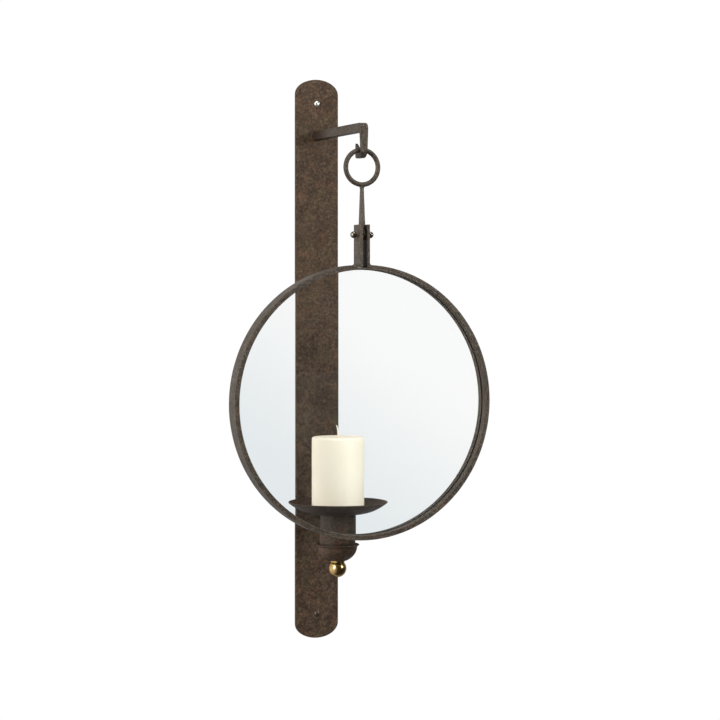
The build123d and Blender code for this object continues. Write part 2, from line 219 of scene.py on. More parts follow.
class Signal:
    """One value, colour or vector inside a finish. Arithmetic on numbers adds Math nodes, and on colours
    and vectors Vector Math nodes."""

    def __init__(self, finish, socket):
        self.finish, self.socket = finish, socket

    def is_wide(self):
        """Whether this is a colour or a vector."""
        return self.socket.type in ("VECTOR", "RGBA")

    def _sum(self, operation, first, second):
        wide = any(isinstance(x, tuple) or (isinstance(x, Signal) and x.is_wide()) for x in (first, second))
        kind = "ShaderNodeVectorMath" if wide else "ShaderNodeMath"
        return self.finish.node(kind, {"operation": operation}, {0: first, 1: second})

    def __add__(self, other):
        return self._sum("ADD", self, other)

    def __radd__(self, other):
        return self._sum("ADD", other, self)

    def __sub__(self, other):
        return self._sum("SUBTRACT", self, other)

    def __rsub__(self, other):
        return self._sum("SUBTRACT", other, self)

    def __mul__(self, other):
        return self._sum("MULTIPLY", self, other)

    def __rmul__(self, other):
        return self._sum("MULTIPLY", other, self)

    def between(self, low, high):
        """0 at low, 1 at high, smooth in between."""
        sockets = {"Value": self, "From Min": low, "From Max": high}
        return self.finish.node("ShaderNodeMapRange", {"interpolation_type": "SMOOTHSTEP"}, sockets)


class Finish:
    """A material or world, built node by node."""

    def __init__(self, owner):
        self.owner = owner
        owner.use_nodes = True
        self.tree = owner.node_tree
        self.tree.nodes.clear()

    def node(self, kind, settings=None, sockets=None, output=0):
        """Adds a node, with its settings first and then its sockets' values or links, and returns one
        output."""
        made = self.tree.nodes.new(kind)
        for key, value in (settings or {}).items():
            setattr(made, key, value)
        for key, value in (sockets or {}).items():
            socket = self.named(made.inputs, key)
            if isinstance(value, Signal):
                self.tree.links.new(value.socket, socket)
            elif isinstance(value, tuple):
                socket.default_value = value + (1.0,) if socket.type == "RGBA" and len(value) == 3 else value
            else:
                socket.default_value = (value,) * 3 if socket.type == "VECTOR" else value
        return Signal(self, self.named(made.outputs, output))

    @staticmethod
    def named(sockets, key):
        """The socket with this identifier, or else with this name or number."""
        return next((socket for socket in sockets if socket.identifier == key), None) or sockets[key]

    def place(self, stretch=(1.0, 1.0, 1.0)):
        """Object coordinates in metres, stretched by a factor each way."""
        spot = self.node("ShaderNodeTexCoord", output="Object")
        return spot if stretch == (1.0, 1.0, 1.0) else spot * stretch

    def noise(self, at, size, detail=3.0, roughness=0.55, distortion=0.0):
        """Noise from 0 to 1, with features about size metres long."""
        sockets = {
            "Vector": at,
            "Scale": 1 / size,
            "Detail": detail,
            "Roughness": roughness,
            "Distortion": distortion,
        }
        return self.node("ShaderNodeTexNoise", {"noise_dimensions": "3D"}, sockets)

    def mix(self, first, second, share):
        """From one colour to another by a share from 0 to 1."""
        sockets = {"Factor_Float": share, "A_Color": first, "B_Color": second}
        return self.node("ShaderNodeMix", {"data_type": "RGBA"}, sockets, "Result_Color")

    def part(self, vector, axis):
        """The X, Y or Z of a vector."""
        return self.node("ShaderNodeSeparateXYZ", {}, {"Vector": vector}, axis)

    def bump(self, height, depth, onto=None):
        """A normal tilted by a height from 0 to 1 that stands depth metres high."""
        sockets = {"Height": height, "Distance": depth, "Strength": 1.0}
        if onto is not None:
            sockets["Normal"] = onto
        return self.node("ShaderNodeBump", {}, sockets, "Normal")

    def principled(self, **values):
        """The shader, with underscores for the spaces in its socket names."""
        return self.node("ShaderNodeBsdfPrincipled", {}, {k.replace("_", " "): v for k, v in values.items()})

    def seen_or_through(self):
        """1 for what is seen directly or straight through glass, and 0 for light and reflections."""
        outputs = ("Is Camera Ray", "Is Transmission Ray", "Glossy Depth", "Diffuse Depth")
        direct, through, mirrored, scattered = (self.node("ShaderNodeLightPath", output=x) for x in outputs)
        straight = through - mirrored - scattered
        return self.node("ShaderNodeMath", {"operation": "MAXIMUM"}, {0: direct, 1: straight})

    def surface(self, shader):
        """Joins a shader to the output and returns the material or world."""
        kind = "World" if isinstance(self.owner, bpy.types.World) else "Material"
        output = self.tree.nodes.new("ShaderNodeOutput" + kind)
        self.tree.links.new(shader.socket, output.inputs["Surface"])
        return self.owner


def new_finish(name):
    """A new, empty material."""
    return Finish(bpy.data.materials.new(name))


def forged_iron(
    name, dark, mid, warm, olive, worn, rub, roughness, metallic, relief, sheen, shade_line=None, grime_and_shade=None
):
    """Browned iron: dark and mid tones in clouds, warm and olive patches, fine grit, and rubbed lighter
    specks; the skin has shallow hammer marks under a fine scale. Tones are colours, rub is the share of
    rubbed metal, relief is in metres, and sheen is the strength of the gloss over the colour. Painted
    shade may darken a band where parts meet, given as an axis and a place on it, with how far the
    painted shade reaches to either side and its strength."""
    f = new_finish(name)
    at = f.place()
    clouds = f.noise(at, 24 * MM, 5.0, 0.62, 0.4)
    patches = f.noise(at, 6 * MM, 4.0, 0.65, 0.6)
    streaks = f.noise(f.place((1.0, 1.0, 0.5)), 13 * MM, 4.0, 0.6)
    blush = f.noise(at, 19 * MM, 3.0, 0.6, 0.5)
    specks = f.noise(at, 2.8 * MM, 3.0, 0.7)
    grit = f.noise(at, 0.7 * MM, 2.0, 0.6)
    colour = f.mix(dark, mid, (clouds * 0.5 + specks * 0.5).between(0.36, 0.64))
    colour = f.mix(colour, warm, (patches * 0.45 + blush * 0.55).between(0.47, 0.66) * 0.6)
    colour = f.mix(colour, olive, streaks.between(0.5, 0.7) * 0.55)
    colour = f.mix(colour, worn, (specks * 0.6 + patches * 0.4).between(0.53, 0.74) * rub)
    colour = colour * (specks * 2.1 + grit * 0.6 - 0.38)
    # painted shade: the colour darkens towards a nearly black brown in a band about the place where parts
    # meet
    if shade_line is not None:
        axis, place = shade_line
        reach, strength = grime_and_shade
        aside = f.node("ShaderNodeMath", {"operation": "ABSOLUTE"}, {0: f.part(at, axis) - place})
        colour = f.mix(colour, (0.03, 0.018, 0.011), aside.between(reach, reach * 0.35) * strength)
    shine = roughness + (specks - 0.5) * 0.28 + (patches - 0.5) * 0.2
    hammer = f.bump(f.noise(at, 9 * MM, 2.0, 0.4), relief)
    scale = f.bump(specks * 0.65 + grit * 0.35, relief * 0.42, hammer)
    return f.surface(
        f.principled(
            Base_Color=colour,
            Roughness=shine,
            Metallic=metallic,
            Normal=scale,
            Specular_IOR_Level=sheen,
        )
    )


def polished_black():
    """Blackened steel, polished: nearly black with faint brown toning, and fine polishing marks in its
    gloss."""
    f = new_finish("gunmetal_polished")
    at = f.place()
    toning, marks = f.noise(at, 3 * MM, 3.0), f.noise(at, 0.5 * MM, 2.0)
    colour = f.mix((0.14, 0.13, 0.11), (0.26, 0.23, 0.18), toning.between(0.35, 0.75))
    skin, shine = f.bump(marks, 0.012 * MM), 0.17 + marks * 0.1
    return f.surface(
        f.principled(Base_Color=colour, Roughness=shine, Metallic=0.9, Normal=skin, Specular_IOR_Level=0.5)
    )


def toned_brass():
    """Turned brass, toned with age: golden with browner clouds, faint rings from the lathe, and dull
    specks."""
    f = new_finish("brass_toned")
    at = f.place()
    clouds, specks = f.noise(at, 6 * MM, 4.0, 0.6), f.noise(at, 0.9 * MM, 2.0)
    rings = f.noise(f.place((0.02, 0.02, 1.0)), 0.35 * MM, 2.0)
    colour = f.mix((0.34, 0.20, 0.065), (0.54, 0.38, 0.17), clouds.between(0.3, 0.7))
    colour = f.mix(colour, (0.20, 0.12, 0.05), specks.between(0.62, 0.8) * 0.5)
    skin, shine = f.bump(rings * 0.6 + specks * 0.4, 0.012 * MM), 0.13 + clouds * 0.1 + specks * 0.08
    return f.surface(f.principled(Base_Color=colour, Roughness=shine, Metallic=1.0, Normal=skin))


def screw_metal(name, base, dull, roughness, grime_and_shade):
    """Plated screw metal: bright with duller clouds, and grime as a share of its specks."""
    f = new_finish(name)
    at = f.place()
    clouds, specks = f.noise(at, 2.2 * MM, 3.0), f.noise(at, 0.6 * MM, 3.0)
    colour = f.mix(base, dull, clouds.between(0.4, 0.75))
    colour = f.mix(colour, (0.03, 0.022, 0.016), specks.between(0.55, 0.72) * grime_and_shade)
    skin, shine = f.bump(specks, 0.03 * MM), roughness + specks * 0.15
    return f.surface(f.principled(Base_Color=colour, Roughness=shine, Metallic=0.9, Normal=skin))


def clear_glass(low, high):
    """Clear polished plate glass: faintly cool in colour, with painted shade that darkens it towards the foot
    and the left of the disc, whose lowest and highest corners are given. Shadows pass through it by a
    transparent shader."""
    f = new_finish("glass_clear")
    at = f.place()
    # painted shade: the glass darkens towards the foot and the left of the disc
    slant = f.part(at, "Z") + f.part(at, "X") * 0.7
    depth = slant.between(high[2] - 50 * MM, low[2] - 20 * MM)
    tint_and_shade = f.mix((0.985, 0.992, 0.99), (0.81, 0.858, 0.875), depth)
    glass = f.principled(Base_Color=tint_and_shade, Roughness=0.0, IOR=1.45, Transmission_Weight=1.0)
    shadow = f.node("ShaderNodeBsdfTransparent", {}, {"Color": (0.83, 0.86, 0.87)})
    path = f.node("ShaderNodeLightPath", output="Is Shadow Ray")
    return f.surface(f.node("ShaderNodeMixShader", {}, {0: path, 1: glass, 2: shadow}))


def ivory_wax():
    """Poured wax, satin: ivory, with slow clouds and faint upright bands from the mould, and light
    carried under the skin. A faint warm painted glow brightens the whole candle, its shaded side too."""
    f = new_finish("wax_ivory")
    at = f.place()
    clouds, bands = f.noise(at, 26 * MM, 3.0), f.noise(f.place((1.0, 1.0, 0.08)), 7 * MM, 3.0)
    grain = f.noise(at, 1.2 * MM, 3.0)
    colour = f.mix((0.965, 0.87, 0.70), (0.985, 0.90, 0.74), (clouds * 0.5 + bands * 0.5).between(0.35, 0.65))
    skin = f.bump(grain * 0.3 + bands * 0.7, 0.08 * MM)
    return f.surface(
        f.principled(
            Base_Color=colour,
            Roughness=0.36 + grain * 0.16,
            Normal=skin,
            Subsurface_Weight=0.3,
            Subsurface_Radius=(0.012, 0.011, 0.009),
            Subsurface_Scale=1.0,
            # painted glow: a faint warm emission that brightens the wax as if it were more lit
            Emission_Color=(1.0, 0.6, 0.34),
            Emission_Strength=0.18,
        )
    )


def waxed_cotton():
    """Cotton wick, waxed: cream threads with darker furrows."""
    f = new_finish("wick_cotton")
    at = f.place()
    threads, clouds = f.noise(at, 0.35 * MM, 3.0, 0.7), f.noise(at, 2 * MM, 2.0)
    colour = f.mix((0.62, 0.52, 0.36), (0.94, 0.89, 0.76), (threads * 0.7 + clouds * 0.3).between(0.25, 0.6))
    skin = f.bump(threads, 0.08 * MM)
    return f.surface(f.principled(Base_Color=colour, Roughness=0.62 + threads * 0.2, Normal=skin))


def groove_shade_lining():
    """Nearly black lining for the groove round the glass, painted shade that stands in for the dark groove:
    faintly clouded and grainy.
    """
    f = new_finish("groove_shade_black")
    clouds, grain = f.noise(f.place(), 5 * MM, 3.0), f.noise(f.place(), 0.8 * MM, 3.0)
    colour = f.mix((0.008, 0.007, 0.005), (0.022, 0.018, 0.013), clouds * 0.6 + grain * 0.4)
    skin, shine = f.bump(grain, 0.05 * MM), 0.7 + grain * 0.2
    return f.surface(f.principled(Base_Color=colour, Roughness=shine, Normal=skin, Specular_IOR_Level=0.2))


def pale_floor():
    """Pale matt floor paint, faintly clouded. Seen directly or through glass it is as bright as the
    backdrop, and it throws back less light than that, so that undersides stay dark."""
    f = new_finish("floor_pale")
    clouds = f.noise(f.place(), 0.6, 3.0)
    colour = f.mix((0.985, 0.985, 0.98), (1.0, 1.0, 1.0), clouds)
    paint = f.principled(Base_Color=colour * 0.38, Roughness=0.8)
    bright = f.node("ShaderNodeEmission", {}, {"Color": colour, "Strength": 1.02})
    return f.surface(f.node("ShaderNodeMixShader", {}, {0: f.seen_or_through(), 1: paint, 2: bright}))


plate_iron = forged_iron(
    "iron_plate",
    dark=(0.048, 0.031, 0.02),
    mid=(0.084, 0.056, 0.037),
    warm=(0.118, 0.063, 0.035),
    olive=(0.076, 0.062, 0.032),
    worn=(0.17, 0.134, 0.098),
    rub=0.3,
    roughness=0.66,
    metallic=0.05,
    relief=0.22 * MM,
    sheen=0.12,
)
holder_iron = forged_iron(
    "iron_holder",
    dark=(0.038, 0.023, 0.014),
    mid=(0.07, 0.043, 0.027),
    warm=(0.104, 0.047, 0.03),
    olive=(0.059, 0.046, 0.024),
    worn=(0.148, 0.105, 0.075),
    rub=0.3,
    roughness=0.52,
    metallic=0.05,
    relief=0.2 * MM,
    sheen=0.2,
    # painted shade: a dark line round the tube and cup just above the cup's rim, where the two meet
    shade_line=("Z", ends("base_cup")[1][2] + 0.8 * MM),
    grime_and_shade=(1.7 * MM, 0.9),
)
hook_iron = forged_iron(
    "iron_hook",
    dark=(0.04, 0.031, 0.022),
    mid=(0.073, 0.06, 0.046),
    warm=(0.092, 0.056, 0.036),
    olive=(0.057, 0.053, 0.035),
    worn=(0.18, 0.155, 0.124),
    rub=0.45,
    roughness=0.5,
    metallic=0.2,
    relief=0.3 * MM,
    sheen=0.28,
    # painted shade: the hook arm darkens towards the wall plate, within 62 mm of its face
    shade_line=("Y", ends("wall_plate")[0][1]),
    grime_and_shade=(62 * MM, 0.8),
)
stem_iron = forged_iron(
    "iron_forged",
    dark=(0.05, 0.04, 0.029),
    mid=(0.09, 0.075, 0.058),
    warm=(0.106, 0.068, 0.044),
    olive=(0.07, 0.066, 0.044),
    worn=(0.21, 0.184, 0.148),
    rub=0.42,
    roughness=0.5,
    metallic=0.2,
    relief=0.3 * MM,
    sheen=0.35,
)
hoop_iron = forged_iron(
    "iron_hoop",
    dark=(0.045, 0.035, 0.026),
    mid=(0.085, 0.068, 0.052),
    warm=(0.11, 0.07, 0.043),
    olive=(0.07, 0.065, 0.04),
    worn=(0.22, 0.19, 0.157),
    rub=0.36,
    roughness=0.48,
    metallic=0.15,
    relief=0.2 * MM,
    sheen=0.3,
)
black_steel = polished_black()
brass = toned_brass()
# painted light: one screw metal in two copies, a bright lit copy for the upper screw, which catches the
# light, and a dark shaded copy for the lower screw
lit_screw = screw_metal("screw_lit", (0.82, 0.80, 0.76), (0.55, 0.53, 0.50), 0.22, 0.35)
shaded_screw = screw_metal("screw_shaded", (0.16, 0.12, 0.095), (0.07, 0.05, 0.038), 0.42, 0.5)
wax = ivory_wax()
cotton = waxed_cotton()
groove_shade = groove_shade_lining()

# ---------------------------------------------------------------- wall plate and screws

plate_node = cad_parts["wall_plate"]
plate_node.data.materials.clear()
plate_node.data.materials.append(plate_iron)
face_y = ends("wall_plate")[0][1]


def wall_screw(node):
    """A screw about Y: a dome head, quarter ellipse, sunk by a cross recess with soft walls; a plain
    neck; a thread whose radius is a ridge wave of the place along it minus the turn; and a cone to the
    point."""
    low, high = ends(node)
    centre = (low + high) / 2
    head_r, neck_r, thread_r, root_r = (high[0] - low[0]) / 2, 2.4 * MM, 2.0 * MM, 1.45 * MM
    pitch, point, head_high = 1.4 * MM, 6.0 * MM, face_y - low[1]
    recess_reach, recess_half, recess_deep = 2.2 * MM, 0.5 * MM, 1.1 * MM
    dome_rows, thread_rows, around = 26, 150, 64
    turns = np.linspace(0, np.pi / 2, dome_rows)
    dome = np.stack([head_r * np.sin(turns), face_y - head_high * np.cos(turns)], 1)
    shank = [(neck_r + 0.2 * MM, face_y), (neck_r, face_y + 0.3 * MM), (neck_r, -0.4 * MM), (root_r, 0.0)]
    thread = np.stack([np.full(thread_rows, root_r), np.linspace(0.1 * MM, high[1], thread_rows)], 1)
    grid = turned(np.vstack([dome, shank, thread, [(0.0, high[1])]]), centre, 1, around)

    def slot_mask(along, across):
        ends_soft = np.clip((recess_reach - np.abs(along)) / (0.3 * MM), 0, 1)
        sides_soft = np.clip((recess_half - np.abs(across)) / (0.25 * MM), 0, 1)
        return ends_soft * sides_soft

    x, z = (grid[:dome_rows, :, k] - centre[k] for k in (0, 2))
    grid[:dome_rows, :, 1] += recess_deep * np.maximum(slot_mask(x, z), slot_mask(z, x))
    first = dome_rows + len(shank)
    rows = slice(first, first + thread_rows)
    turn = np.linspace(0, 1, around, endpoint=False)
    ridge = 1 - np.abs(2 * ((grid[rows, :, 1] / pitch - turn) % 1) - 1)
    radius = root_r + (thread_r - root_r) * np.clip(1.8 * ridge - 0.5, 0, 1)
    taper = np.clip((high[1] - grid[rows, :, 1]) / point, 0, 1)
    for k in (0, 2):
        grid[rows, :, k] = centre[k] + (grid[rows, :, k] - centre[k]) / root_r * radius * taper
    return grid


# the upper screw takes the lit copy of the screw metal and the lower screw the shaded copy: painted light
for name, node, slot, finish in (
    ("screw_upper", "upper_wall_screw", "screw_steel", lit_screw),
    ("screw_lower", "lower_wall_screw", "dark_screw", shaded_screw),
):
    make(name, "wall_frame", slot, finish, [(wall_screw(node), False)], [node])

# ---------------------------------------------------------------- hook arm and candle arm

ring_low, ring_high = ends("hanging_ring")
hang_y = (ring_low[1] + ring_high[1]) / 2
bar_space = 3.85 * MM
weld = 1.3 * MM


def weld_flare(distance):
    """How much a bar widens at a weld: the foot of a quarter circle, one weld high at no distance and
    none beyond 1.6 of it."""
    share = np.clip(1 - np.abs(distance) / (1.6 * weld), 0, 1)
    return weld * (1 - np.sqrt(1 - share**2))


def hook_bar():
    """The hooked arm: a rounded section held between an outer and an inner line, both rounded paths with
    as many points. Its width falls in straight lines along the arm, down the leg, and out along the tip."""
    low, high = ends("hook_arm")
    front, foot, top, root_half = low[1], low[2], high[2], high[0]
    corner_half, foot_half, tip_half = 5.25 * MM, 4 * MM, 1.3 * MM
    back = hang_y - bar_space
    under, saddle, slope = top - 12 * MM, foot + 6.6 * MM, math.radians(40)
    trough = hang_y + bar_space * math.tan(slope / 2)
    tip_in = back + 21 * MM
    tip_out = tip_in + 2.6 * MM
    tip_z = saddle + (tip_in - trough) * math.tan(slope)
    root = face_y + 1 * MM
    run_steps, arc_steps = [30, 8, 6, 12], 12
    outside = [(root, top), (front, top), (front, foot), (tip_out - 3.5 * MM, foot), (tip_out, tip_z)]
    inside = [(root, under), (back, under), (back, saddle), (trough, saddle), (tip_in, tip_z)]
    outer = rounded_path(outside, [0, 8 * MM, 10 * MM, 5 * MM, 0], run_steps, arc_steps)
    inner = rounded_path(inside, [0, 2.5 * MM, 3 * MM, 2.5 * MM, 0], run_steps, arc_steps)
    middle, reach = (outer + inner) / 2, outer - inner
    y, z, count = middle[:, 0], middle[:, 1], np.arange(len(middle))
    along_arm = np.interp(y, [back, face_y], [corner_half, root_half])
    down_leg = np.interp(z, [foot, under], [foot_half, corner_half])
    out_tip = np.minimum(down_leg, np.interp(y, [trough, tip_out], [foot_half, tip_half]))
    corner_end = 1 + run_steps[0] + arc_steps
    saddle_end = corner_end + run_steps[1] + arc_steps
    wide = np.where(count < corner_end, along_arm, np.where(count < saddle_end, down_leg, out_tip))
    flare = weld_flare(y - face_y)
    tall = np.linalg.norm(reach, axis=1) / 2
    up = np.stack([0 * y, reach[:, 0], reach[:, 1]], 1) / (2 * tall[:, None])
    centres = np.stack([0 * y, y, z], 1)
    corner = np.minimum(0.8 * MM, 0.42 * np.minimum(wide, tall))
    across = (1, 0, 0)
    forging = {"soft": 0.6 * MM, "dent": 0.12 * MM, "dent_size": 11 * MM, "seed": 4, "flat_steps": 7}
    return bar(centres, across, up, wide + flare, tall + flare, corner, **forging)


make("hook_arm_forged", "wall_frame", "forged_iron", hook_iron, [(hook_bar(), False)], ["hook_arm"])

tube_low, tube_high = ends("socket_tube")
candle_at = (tube_low + tube_high) / 2
tube_r = (tube_high[0] - tube_low[0]) / 2


def candle_arm_bar():
    """The lower arm: a straight rounded bar that runs from inside the plate into the tube's wall, flared
    at both welds."""
    low, high = ends("candle_arm")
    near, far = face_y + 1 * MM, candle_at[1] + tube_r - 1.2 * MM
    y = np.concatenate([[near], near + (far - near) * eased(40), [far]])
    z = (low[2] + high[2]) / 2
    flare = weld_flare(y - face_y) + weld_flare(y - candle_at[1] - tube_r)
    half_x, half_z = high[0], (high[2] - low[2]) / 2
    centres = np.stack([0 * y, y, 0 * y + z], 1)
    across, up = (1, 0, 0), (0, 0, 1)
    forging = {"soft": 0.3 * MM, "dent": 0.16 * MM, "dent_size": 10 * MM, "seed": 5, "flat_steps": 7}
    return bar(centres, across, up, half_x + flare, half_z + flare, 1.1 * MM, **forging)


lower_arm = [(candle_arm_bar(), False)]
make("candle_arm_forged", "wall_frame", "rust_brown_holder", holder_iron, lower_arm, ["candle_arm"])

# ---------------------------------------------------------------- ring and stem

ring_centre = (ring_low + ring_high) / 2
bar_r = (ring_high[1] - ring_low[1]) / 2
ring_r = ring_high[0] - bar_r


def hanging_ring_bar():
    """The ring: a circle carried round a circle, its skin moved in by an uneven field so that the bar
    looks drawn by hand."""
    turn = np.linspace(0, 2 * np.pi, 24, endpoint=False)
    profile = np.stack([ring_r + bar_r * np.cos(turn), ring_centre[1] + bar_r * np.sin(turn)], 1)
    core = np.stack([0 * turn + ring_r, 0 * turn + ring_centre[1]], 1)
    grid, spine = (turned(line, ring_centre, 1, 128) for line in (profile, core))
    return grid - unit(grid - spine) * (0.1 * MM * uneven(grid, 13 * MM, 6))[..., None]


ring_bar = [(hanging_ring_bar(), True)]
make("hanging_ring_forged", "hanger", "forged_iron", hook_iron, ring_bar, ["hanging_ring"])

stem_low, stem_high = ends("tapered_stem")
cheek_top = ends("hoop_strap")[1][2]
eye_r = (stem_high[1] - stem_low[1]) / 2
bolt_z = stem_low[2] + eye_r
bolt_hole_r = 2.05 * MM


def stem_shells():
    """The stem: a square bar that widens downwards in straight lines, flared into the ring above by a
    quarter circle, and a bored eye, which is a rounded rectangle carried round the bolt."""
    weld_z, half_top, half_deep = stem_high[2], 2.1 * MM, 4.5 * MM
    half_wide = stem_high[0] - 0.04 * MM
    top, shoulder, taper_end, foot = weld_z + 1.6 * MM, weld_z - 4 * MM, cheek_top + 1 * MM, bolt_z + 3.6 * MM
    into_ring = top + (shoulder - top) * eased(12)
    taper = np.linspace(shoulder, taper_end, 22)
    z = np.concatenate([[top], into_ring, taper, [taper_end - 3 * MM, foot + 3 * MM, foot]])
    share = np.clip((weld_z - z) / (weld_z - taper_end), 0, 1)
    rise = np.clip((z - weld_z + 3.2 * MM) / (4.8 * MM), 0, 1)
    flare = 1 - np.sqrt(1 - rise**2)
    half_x = half_top + (half_wide - half_top) * share + 2.6 * MM * flare
    half_y = half_top + (half_deep - half_top) * share + 0.7 * MM * flare
    centres = np.stack([0 * z, 0 * z + hang_y, z], 1)
    corner = 0.5 * MM + 0.5 * MM * flare
    across, up = (1, 0, 0), (0, 1, 0)
    forging = {"soft": 0.3 * MM, "dent": 0.08 * MM, "dent_size": 8 * MM, "seed": 7, "flat_steps": 4}
    neck = bar(centres, across, up, half_x, half_y, corner, **forging)
    x = stem_high[0]
    corners = [(bolt_hole_r, -x), (eye_r, -x), (eye_r, x), (bolt_hole_r, x)]
    eye = rounded_path(corners, [0.25 * MM, 0.7 * MM, 0.7 * MM, 0.25 * MM], 3, 6, closed=True)
    return [(neck, False), (turned(eye, (0, hang_y, bolt_z), 0, 72), True)]


make("stem_tapered", "hanger", "forged_iron", stem_iron, stem_shells(), ["tapered_stem"])

# ---------------------------------------------------------------- hoop, keeper rings and glass

hoop_low, hoop_high = ends("hoop_strap")
hoop_r = hoop_high[0]
hoop_z = hoop_low[2] + hoop_r
hoop_centre = np.array([0, hang_y, hoop_z])
strap_thick, keeper_thick = 3.5 * MM, 2.8 * MM
strap_half = (hoop_high[1] - hoop_low[1]) / 2
cheek_out = -ends("left_washer")[1][0]


def strap_line(face_x, circle_r, bend_r, steps=180):
    """The right half of one face of the strap: down the cheek, round a small arc that touches the cheek
    and the circle outside it, then along the circle to its lowest point."""
    centre_x = face_x + bend_r
    centre_z = hoop_z + math.sqrt((circle_r + bend_r) ** 2 - centre_x**2)
    lean = math.atan2(centre_x, centre_z - hoop_z)
    down = 1 - np.concatenate([[0], eased(13)])
    cheek = np.stack([0 * down + face_x, centre_z + (cheek_top - centre_z) * down], 1)
    turn = np.linspace(np.pi, 1.5 * np.pi - lean, 9)
    small = np.stack([centre_x + bend_r * np.cos(turn), centre_z + bend_r * np.sin(turn)], 1)
    angle = np.linspace(lean, np.pi, steps + 1)[1:]
    large = np.stack([circle_r * np.sin(angle), hoop_z + circle_r * np.cos(angle)], 1)
    return np.vstack([cheek, small, large])


def hoop_bar():
    """The strap: a rounded strip held between its outer and inner lines, from the left cheek's top, round
    the hoop, to the right cheek's top. The left half mirrors the right."""
    right_outer = strap_line(cheek_out, hoop_r, 3 * MM)
    right_inner = strap_line(cheek_out - strap_thick, hoop_r - strap_thick, 2 * MM)
    outer, inner = (np.vstack([line * (-1, 1), line[-2::-1]]) for line in (right_outer, right_inner))
    middle, reach = (outer + inner) / 2, outer - inner
    tall = np.linalg.norm(reach, axis=1) / 2
    up = np.stack([reach[:, 0], 0 * tall, reach[:, 1]], 1) / (2 * tall[:, None])
    centres = np.stack([middle[:, 0], 0 * tall + hang_y, middle[:, 1]], 1)
    across = (0, 1, 0)
    forging = {"soft": 0.5 * MM, "dent": 0.1 * MM, "dent_size": 16 * MM, "seed": 8, "flat_steps": 7}
    return bar(centres, across, up, strap_half, tall, 0.45 * MM, **forging)


make("hoop_strap_forged", "glass_hoop", "hoop_iron", hoop_iron, [(hoop_bar(), False)], ["hoop_strap"])


def keeper_ring(node, seed):
    """A keeper ring: a rounded strip carried round the hoop's centre, slightly uneven inside."""
    low, high = ends(node)
    outside = (high[0] - low[0]) / 2
    inside = outside - keeper_thick
    corners = [(inside, low[1]), (outside, low[1]), (outside, high[1]), (inside, high[1])]
    profile = rounded_path(corners, [0.5 * MM] * 4, [3, 7, 3, 7], 6, closed=True)
    grid = turned(profile, hoop_centre, 1, 300)
    inwards = (grid - hoop_centre) * (-1, 0, -1)
    near = np.linalg.norm(inwards, axis=-1) < outside - 1 * MM
    return grid - unit(inwards) * (0.08 * MM * near * uneven(grid, 12 * MM, seed))[..., None]


for name, node, seed in (("keeper_front", "front_glass_ring", 9), ("keeper_rear", "rear_glass_ring", 10)):
    make(name, "glass_hoop", "hoop_iron", hoop_iron, [(keeper_ring(node, seed), True)], [node])

glass_low, glass_high = ends("glass_disc")


def groove_shade_channel():
    """A nearly black lining in the groove round the glass, painted shade that stands in for the dark groove:
    a thin channel that lines both keeper rings and the strap, carried round the hoop's centre."""
    inside, rim, out = glass_high[0] - 2.35 * MM, glass_high[0] + 0.06 * MM, glass_high[0] + 0.32 * MM
    near, far, skin = glass_low[1] - 0.16 * MM, glass_high[1] + 0.16 * MM, 0.12 * MM
    lining = [(inside, near), (out, near), (out, far), (inside, far)]
    bed = [(inside, far - skin), (rim, far - skin), (rim, near + skin), (inside, near + skin)]
    profile = rounded_path(lining + bed, [0.03 * MM] * 8, 2, 3, closed=True)
    return turned(profile, hoop_centre, 1, 256)


# painted shade: the nearly black lining darkens the groove round the glass edge
make("glass_groove_shade", "glass_hoop", "hoop_iron", groove_shade, [(groove_shade_channel(), True)])


def glass_plate():
    """The glass: flat faces out to a rounded edge, an ellipse quarter each side, carried round the hoop's
    centre."""
    radius, edge = glass_high[0], 0.6 * MM
    flat = np.concatenate([np.linspace(0, radius - 6 * MM, 8), [radius - 2 * MM, radius - edge - 0.1 * MM]])
    turn = np.linspace(-np.pi / 2, 0, 7)
    front = np.stack([flat, 0 * flat + glass_low[1]], 1)
    lip = np.stack([radius - edge + edge * np.cos(turn), glass_low[1] + edge + edge * np.sin(turn)], 1)
    half = np.vstack([front, lip])
    other = np.stack([half[::-1, 0], glass_low[1] + glass_high[1] - half[::-1, 1]], 1)
    return turned(np.vstack([half, other]), hoop_centre, 1, 256)


glass = clear_glass(glass_low, glass_high)
make("glass_plate", "glass_hoop", "clear_glass", glass, [(glass_plate(), False)], ["glass_disc"])

# ---------------------------------------------------------------- bolt, washers and ball nuts

bolt_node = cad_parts["clevis_bolt"]
bolt_node.data.materials.clear()
bolt_node.data.materials.append(black_steel)
bolt_at = (0, hang_y, bolt_z)


def washer(node):
    """A washer: a rectangle with rounded corners, carried round the bolt."""
    low, high = ends(node)
    rim_r = high[1] - hang_y
    corners = [(bolt_hole_r, low[0]), (rim_r, low[0]), (rim_r, high[0]), (bolt_hole_r, high[0])]
    return turned(rounded_path(corners, [0.25 * MM] * 4, 2, 5, closed=True), bolt_at, 0, 64)


def ball_nut(node, side):
    """A ball nut: a circle arc from the tip round to a collar, with a small groove between them. The side
    is -1 on the left and 1 on the right."""
    low, high = ends(node)
    radius = (high[1] - low[1]) / 2
    seat, tip = (low[0], high[0]) if side > 0 else (-high[0], -low[0])
    centre, collar = tip - radius, 3.3 * MM
    turn = np.linspace(0, np.pi - math.asin(collar / radius) - 0.06, 30)
    ball = np.stack([radius * np.sin(turn), centre + radius * np.cos(turn)], 1)
    groove = centre - math.sqrt(radius**2 - collar**2) - 0.1 * MM
    rim = [(collar, seat + 0.75 * MM), (collar, seat + 0.3 * MM), (collar - 0.15 * MM, seat)]
    profile = np.vstack([ball, [(collar - 0.25 * MM, groove)], rim, [(0, seat)]]) * (1, side)
    return turned(profile, bolt_at, 0, 64)


